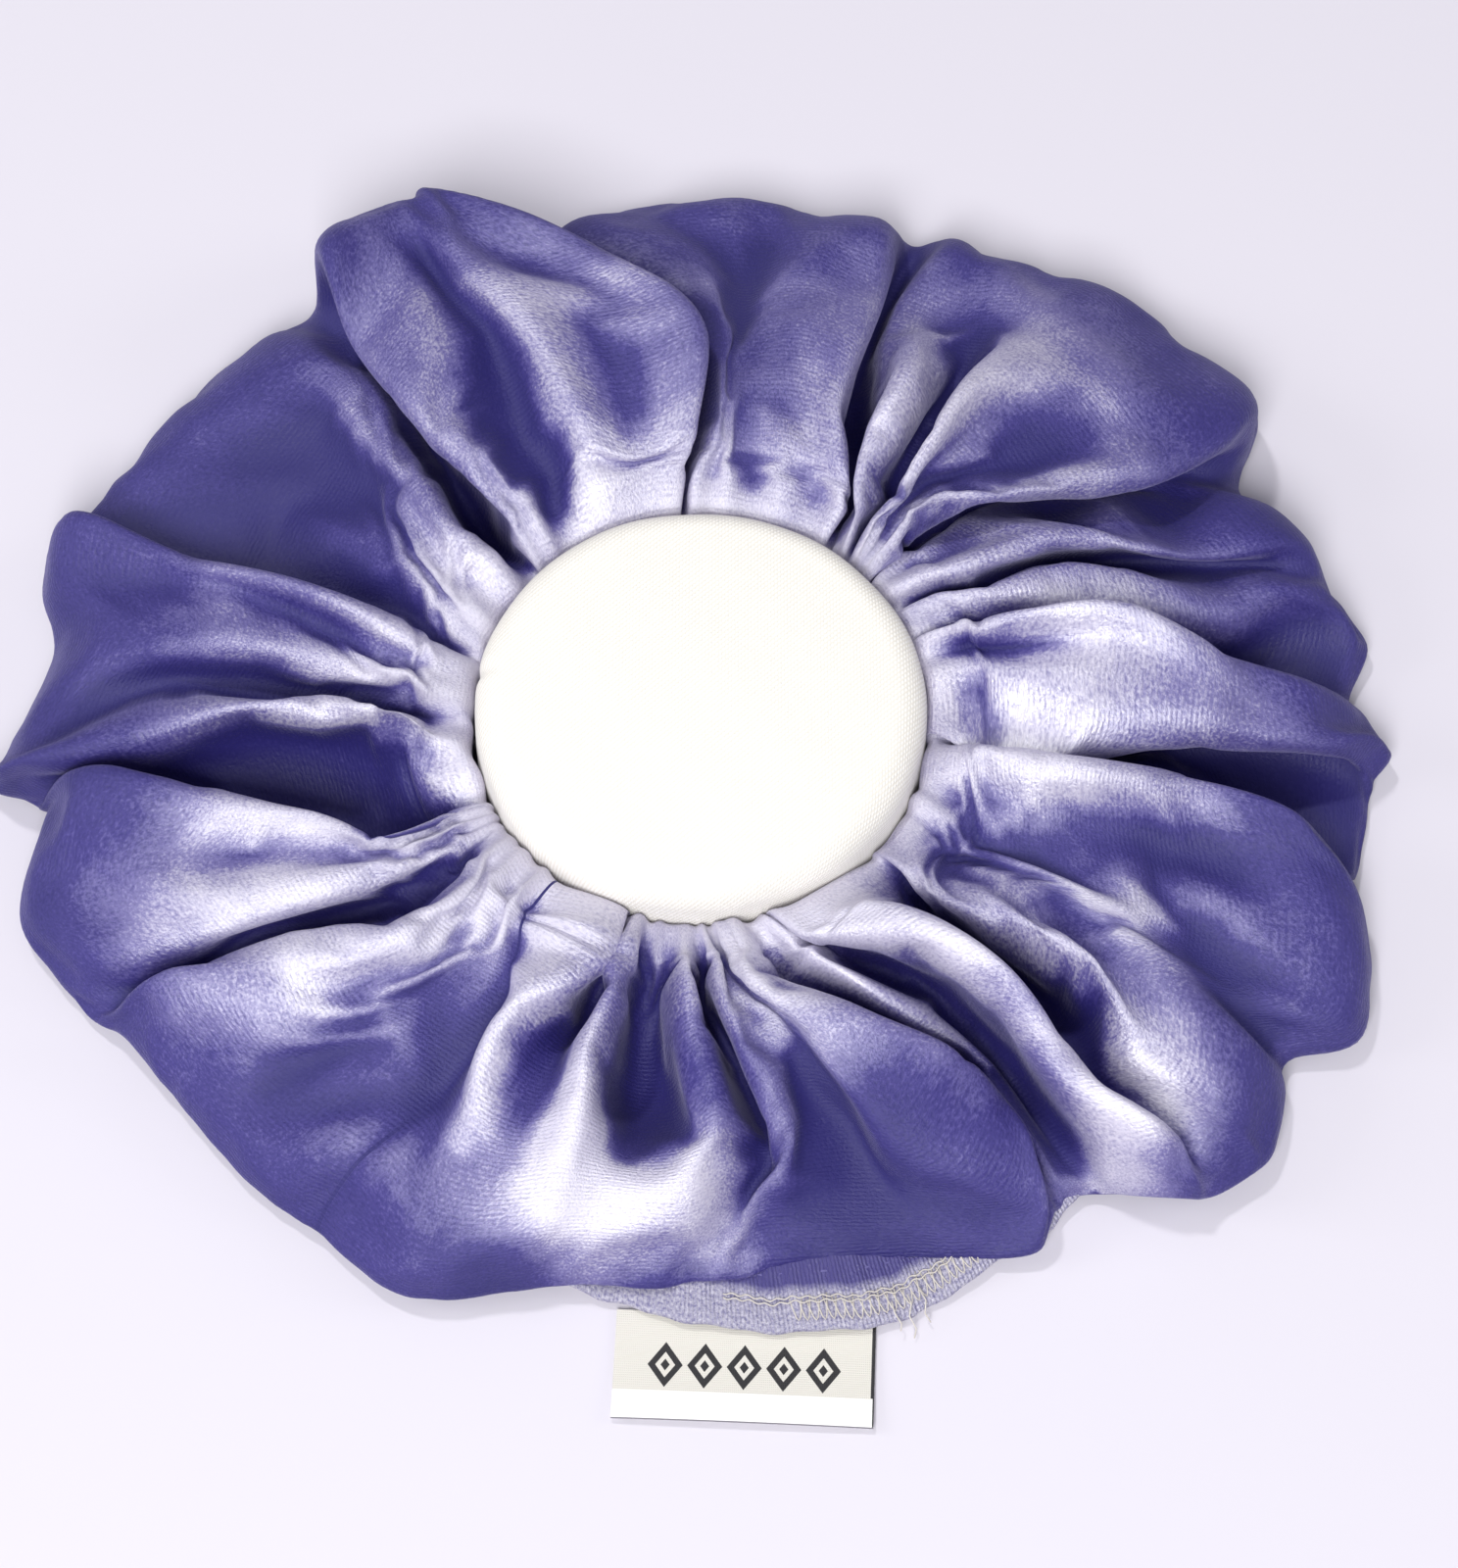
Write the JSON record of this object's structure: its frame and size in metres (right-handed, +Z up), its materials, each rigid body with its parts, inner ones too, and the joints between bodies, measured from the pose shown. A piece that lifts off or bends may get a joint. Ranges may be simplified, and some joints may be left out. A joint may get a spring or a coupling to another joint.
{
  "type": "padded scrunchie display",
  "caption": "Gathered velvet scrunchie held round a low round cloth-covered pad, with a folded label sewn into its seam; the pad lifts out.",
  "frame": {"origin": "on the pad's axis, on the surface that the part stands on: the middle of the felt's underside", "axes": "+Z up along the pad's axis; -Y towards the sewn-in label; +X to the right seen from the label's side"},
  "size_m": [0.1495, 0.1474, 0.02],
  "materials": {
    "velvet": "short shiny pile, stretch knit velvet",
    "velvet_hem": "cut velvet edge, pressed flat and overlocked",
    "elastic": "matt woven elastic, rubber threads covered in cotton",
    "sewing_thread": "spun polyester thread, slight sheen",
    "seam_thread": "spun polyester thread, slight sheen",
    "overlock": "textured nylon thread, slight sheen",
    "label": "damask woven polyester tape, smooth",
    "twill": "brushed cotton twill, matt",
    "wadding": "loose polyester wadding, matt",
    "foam": "open-cell upholstery foam, matt",
    "greyboard": "pressed grey board, matt",
    "felt": "pressed wool-mix felt, matt"
  },
  "bodies": {
    "scrunchie": {"velvet_sleeve": "velvet", "elastic_band": "elastic", "elastic_join_stitches": "sewing_thread", "closing_seam_thread": "seam_thread", "seam_allowance": "velvet_hem", "overlock_thread": "overlock", "label_stitches": "sewing_thread"},
    "label": {"folded_label": "label"},
    "pad": {"pad_cover": "twill", "pad_wadding": "wadding", "pad_foam": "foam", "pad_board": "greyboard", "gather_thread": "sewing_thread", "base_felt": "felt", "base_stitches": "sewing_thread"}
  },
  "joints": [
    {"name": "pad_lift", "type": "slide", "parent": "scrunchie", "child": "pad", "axis": [0, 0, 1], "range_m": [0, 0.03]},
    {"name": "label_flap", "type": "hinge", "parent": "scrunchie", "child": "label", "pos_m": [0.0047, -0.0674, 0.0004], "axis": [-0.999, 0.0436, 0], "range_deg": [0, 90]}
  ]
}
